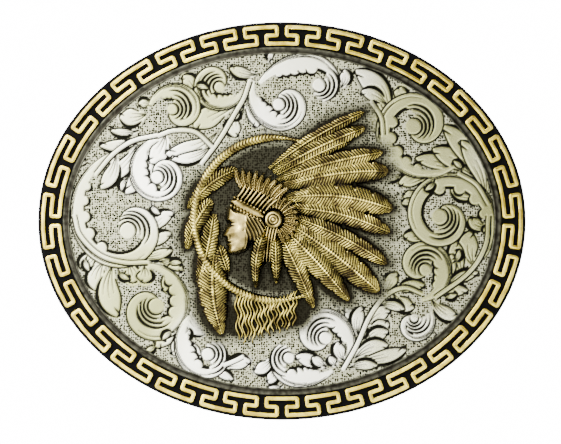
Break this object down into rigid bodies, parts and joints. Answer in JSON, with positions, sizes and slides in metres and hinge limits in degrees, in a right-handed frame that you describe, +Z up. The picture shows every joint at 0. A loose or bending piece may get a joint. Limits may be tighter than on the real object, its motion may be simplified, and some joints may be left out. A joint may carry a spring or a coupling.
{
  "type": "belt buckle",
  "caption": "Oval plate belt buckle with a meander rim, an engraved face and a cast relief figure, and a swinging strap loop and a fixed prong behind.",
  "frame": {"origin": "centre of the back plate's rear face, where the buckle lies against the belt", "axes": "upright as worn: the decorated face looks along -Y, +X is to a viewer's right, +Z is up"},
  "size_m": [0.1016, 0.0175, 0.0826],
  "materials": {
    "antique_brass": "satin, darkened in the recesses",
    "blackened_rim": "blackened, satin",
    "fret_gold": "polished pale gold",
    "bezel_dark": "antiqued, satin",
    "nickel_silver": "polished, bright-cut engraving on a stippled ground",
    "figure_gold": "antique gold, blackened in the recesses",
    "plated_wire": "nickel plated, satin"
  },
  "bodies": {
    "plate": {"back_plate": "antique_brass", "rim_band": "blackened_rim", "key_fret": "fret_gold", "bezel_ring": "bezel_dark", "face_plate": "nickel_silver", "figure_casting": "figure_gold", "figure_pins": "figure_gold", "hinge_barrel": "antique_brass", "prong_foot": "antique_brass", "belt_prong": "plated_wire"},
    "loop": {"belt_loop": "plated_wire"}
  },
  "joints": [
    {"name": "loop_hinge", "type": "hinge", "parent": "plate", "child": "loop", "pos_m": [0.02173, 0.00412, 0], "axis": [0, 0, 1], "range_deg": [-14, 170]}
  ]
}
